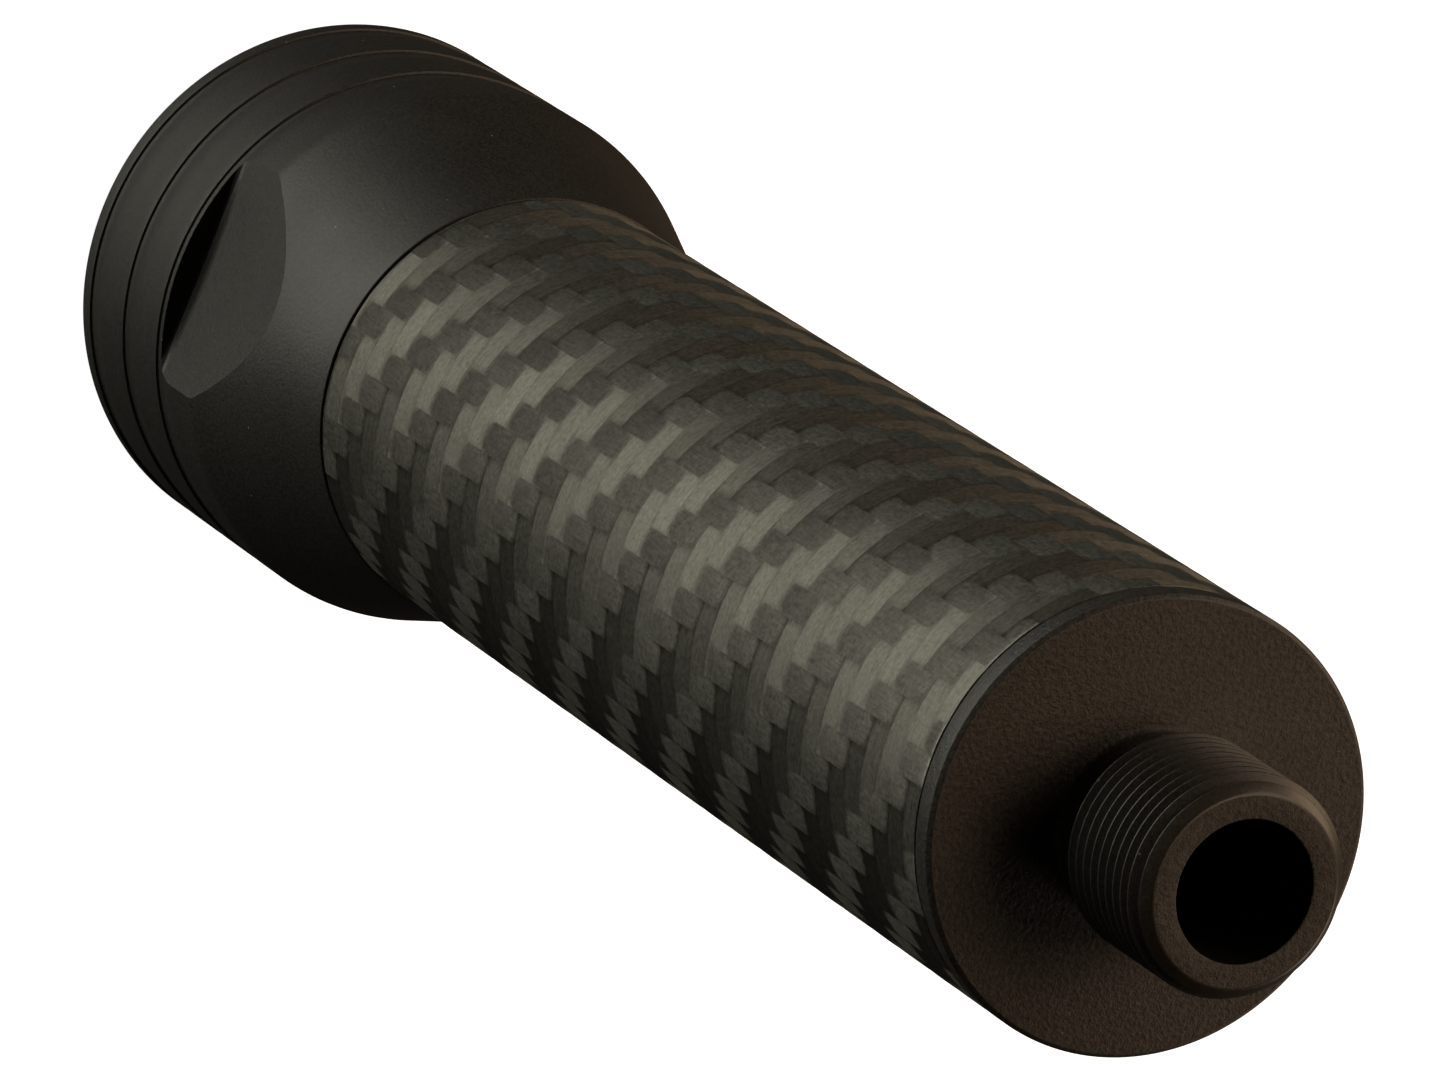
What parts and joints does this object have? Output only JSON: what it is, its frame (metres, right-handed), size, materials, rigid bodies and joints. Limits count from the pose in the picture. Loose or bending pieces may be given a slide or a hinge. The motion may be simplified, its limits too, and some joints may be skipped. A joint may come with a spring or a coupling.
{
  "type": "carbon-sleeved threaded tube housing",
  "caption": "Slim tubular housing with a woven carbon sleeve, a flared black metal head with grip grooves and wrench flats, and a threaded hollow spigot.",
  "frame": {"origin": "centre of the flared head's rear face, on the housing's axis, where the housing stands upright", "axes": "+Z along the housing's axis from the head to the threaded spigot; -Y out of one wrench flat, +Y out of the other; +X completes a right-handed frame"},
  "size_m": [0.0356, 0.0356, 0.14],
  "materials": {
    "anodised_head": "bead-blasted black anodising, satin",
    "blasted_cap": "coarse sand-blasted black anodising, matte",
    "machined_liner": "as turned",
    "carbon_twill": "woven carbon twill in satin resin",
    "black_polymer": "as machined",
    "nitrile": "matte",
    "spring_steel": "phosphated"
  },
  "bodies": {
    "head": {"flared_head": "anodised_head", "socket_bush": "black_polymer", "socket_oring": "nitrile", "socket_circlip": "spring_steel"},
    "tube_travel": {"head_oring": "nitrile"},
    "tube": {"liner_tube": "machined_liner", "carbon_sleeve": "carbon_twill", "rear_centring_ring": "black_polymer", "front_centring_ring": "black_polymer"},
    "cap_travel": {"cap_oring": "nitrile"},
    "cap": {"front_cap": "blasted_cap"}
  },
  "joints": [
    {"name": "tube_lift", "type": "slide", "parent": "head", "child": "tube_travel", "axis": [0, 0, 1], "range_m": [0, 0.008]},
    {"name": "tube_turn", "type": "hinge", "parent": "tube_travel", "child": "tube", "pos_m": [0, 0, 0.021], "axis": [0, 0, 1], "range_deg": [0, 2881]},
    {"name": "cap_lift", "type": "slide", "parent": "tube", "child": "cap_travel", "axis": [0, 0, 1], "range_m": [0, 0.006]},
    {"name": "cap_turn", "type": "hinge", "parent": "cap_travel", "child": "cap", "pos_m": [0, 0, 0.1253], "axis": [0, 0, 1], "range_deg": [0, 2161]}
  ],
  "couplings": [
    {"joint": "tube_turn", "follows": "tube_lift", "rad_per_m": 6283.2},
    {"joint": "cap_turn", "follows": "cap_lift", "rad_per_m": 6283.2}
  ]
}
